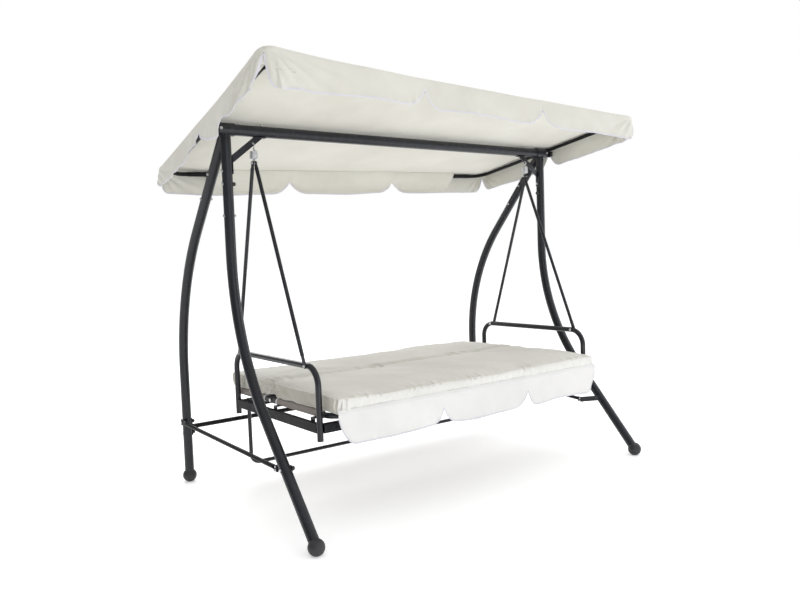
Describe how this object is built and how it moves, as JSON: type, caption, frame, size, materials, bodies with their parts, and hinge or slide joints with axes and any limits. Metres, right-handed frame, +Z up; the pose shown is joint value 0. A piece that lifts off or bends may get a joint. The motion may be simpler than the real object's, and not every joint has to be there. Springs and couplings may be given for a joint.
{
  "type": "canopy swing bench",
  "caption": "Garden swing bench with a tubular A-frame, spring-hung seat with armrests, fold-flat backrest, long cushions and a tilting scalloped fabric canopy.",
  "frame": {"origin": "on the ground under the middle of the beam, centre of the footprint", "axes": "+Z up, +X along the beam to the right side, the front of the seat faces -Y"},
  "size_m": [2.076, 1.2585, 1.781],
  "materials": {
    "frame_paint": "semi-gloss anthracite powder coat",
    "black_plastic": "moulded black plastic",
    "zinc": "bright zinc plating",
    "hinge_black": "black enamel",
    "sling_fabric": "woven grey-beige sling",
    "cushion_fabric": "woven polyester, sand",
    "canopy_fabric": "coated polyester, sand"
  },
  "bodies": {
    "frame": {"top_beam": "frame_paint", "front_leg_left": "frame_paint", "front_leg_right": "frame_paint", "rear_leg_left": "frame_paint", "rear_leg_right": "frame_paint", "leg_yoke_left": "frame_paint", "leg_yoke_right": "frame_paint", "corner_braces": "frame_paint", "foot_caps": "black_plastic", "beam_end_plugs": "black_plastic", "canopy_studs": "zinc", "frame_bolts": "zinc", "bolt_caps": "black_plastic", "side_rail_left": "frame_paint", "side_rail_right": "frame_paint", "rail_brackets": "frame_paint", "rail_bolts": "zinc", "rear_bar": "frame_paint"},
    "springs": {"spring_left": "zinc", "spring_right": "zinc"},
    "seat": {"front_rod_left": "frame_paint", "front_rod_right": "frame_paint", "rear_rod_left": "frame_paint", "rear_rod_right": "frame_paint", "hanger_bolts": "zinc", "armrest_left": "frame_paint", "armrest_right": "frame_paint", "armrest_end_caps": "black_plastic", "seat_side_rail_left": "frame_paint", "seat_side_rail_right": "frame_paint", "seat_front_rail": "frame_paint", "seat_rear_rail": "frame_paint", "seat_sling_frame": "frame_paint", "seat_sling": "sling_fabric", "seat_stretcher": "frame_paint", "sling_brackets": "frame_paint", "corner_brackets": "frame_paint", "recline_hinges": "hinge_black", "recline_pins": "zinc", "prop_brackets": "frame_paint", "prop_pivots": "zinc", "seat_cushion": "cushion_fabric", "seat_valance": "cushion_fabric"},
    "backrest": {"backrest_frame": "frame_paint", "backrest_sling": "sling_fabric", "backrest_stretchers": "frame_paint", "backrest_hinges": "hinge_black", "back_cushion": "cushion_fabric"},
    "prop": {"backrest_prop": "frame_paint"},
    "canopy": {"canopy_arm_left": "frame_paint", "canopy_arm_right": "frame_paint", "canopy_front_rail": "frame_paint", "canopy_rear_rail": "frame_paint", "canopy_top": "canopy_fabric", "canopy_valance_front": "canopy_fabric", "canopy_valance_rear": "canopy_fabric", "canopy_valance_left": "canopy_fabric", "canopy_valance_right": "canopy_fabric"},
    "knob_left": {"clamp_knob_left": "black_plastic"},
    "knob_right": {"clamp_knob_right": "black_plastic"}
  },
  "joints": [
    {"name": "swing", "type": "hinge", "parent": "frame", "child": "springs", "pos_m": [0, 0, 1.55], "axis": [1, 0, 0], "range_deg": [-15, 9]},
    {"name": "bounce", "type": "slide", "parent": "springs", "child": "seat", "axis": [0, 0, -1], "range_m": [0, 0.04], "stiffness_N_per_m": 40000, "springref_m": -0.025, "deforming": ["spring_left", "spring_right"]},
    {"name": "recline", "type": "hinge", "parent": "seat", "child": "backrest", "pos_m": [0, 0.05, 0.447], "axis": [1, 0, 0], "range_deg": [0, 65]},
    {"name": "prop_swing", "type": "hinge", "parent": "seat", "child": "prop", "pos_m": [0, 0.34, 0.4], "axis": [1, 0, 0], "range_deg": [0, 214.5]},
    {"name": "canopy_tilt", "type": "hinge", "parent": "frame", "child": "canopy", "pos_m": [0, 0, 1.6], "axis": [1, 0, 0], "range_deg": [-20, 45]},
    {"name": "knob_left_turn", "type": "hinge", "parent": "frame", "child": "knob_left", "pos_m": [-1.02, 0, 1.6], "axis": [1, 0, 0], "continuous": true},
    {"name": "knob_right_turn", "type": "hinge", "parent": "frame", "child": "knob_right", "pos_m": [1.02, 0, 1.6], "axis": [1, 0, 0], "continuous": true}
  ],
  "couplings": [
    {"joint": "prop_swing", "follows": "recline", "ratio": 3.3}
  ]
}
